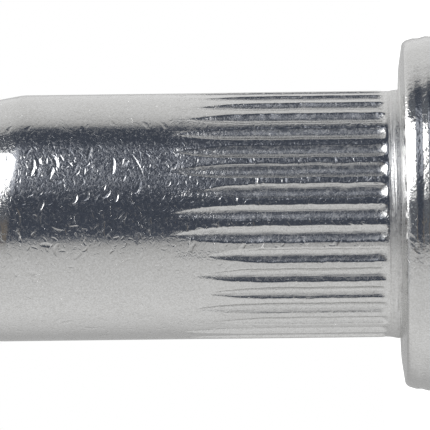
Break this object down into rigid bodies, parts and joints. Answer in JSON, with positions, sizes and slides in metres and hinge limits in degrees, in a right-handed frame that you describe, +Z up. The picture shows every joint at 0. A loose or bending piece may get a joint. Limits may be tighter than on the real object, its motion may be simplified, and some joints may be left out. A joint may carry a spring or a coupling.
{
  "type": "rivet nut",
  "caption": "Flat-head rivet nut with a knurled shank: it is set in a plain sheet hole and gives it a metal thread.",
  "frame": {"origin": "centre of the head's outer face, on the shank's axis", "axes": "+Z up the shank from the head to the open tail; X and Y are alike, with one knurl groove centred on +X"},
  "size_m": [0.013, 0.013, 0.017],
  "materials": {
    "plated_steel": "satin"
  },
  "bodies": {
    "root": {"rivet_nut": "plated_steel"}
  },
  "joints": []
}
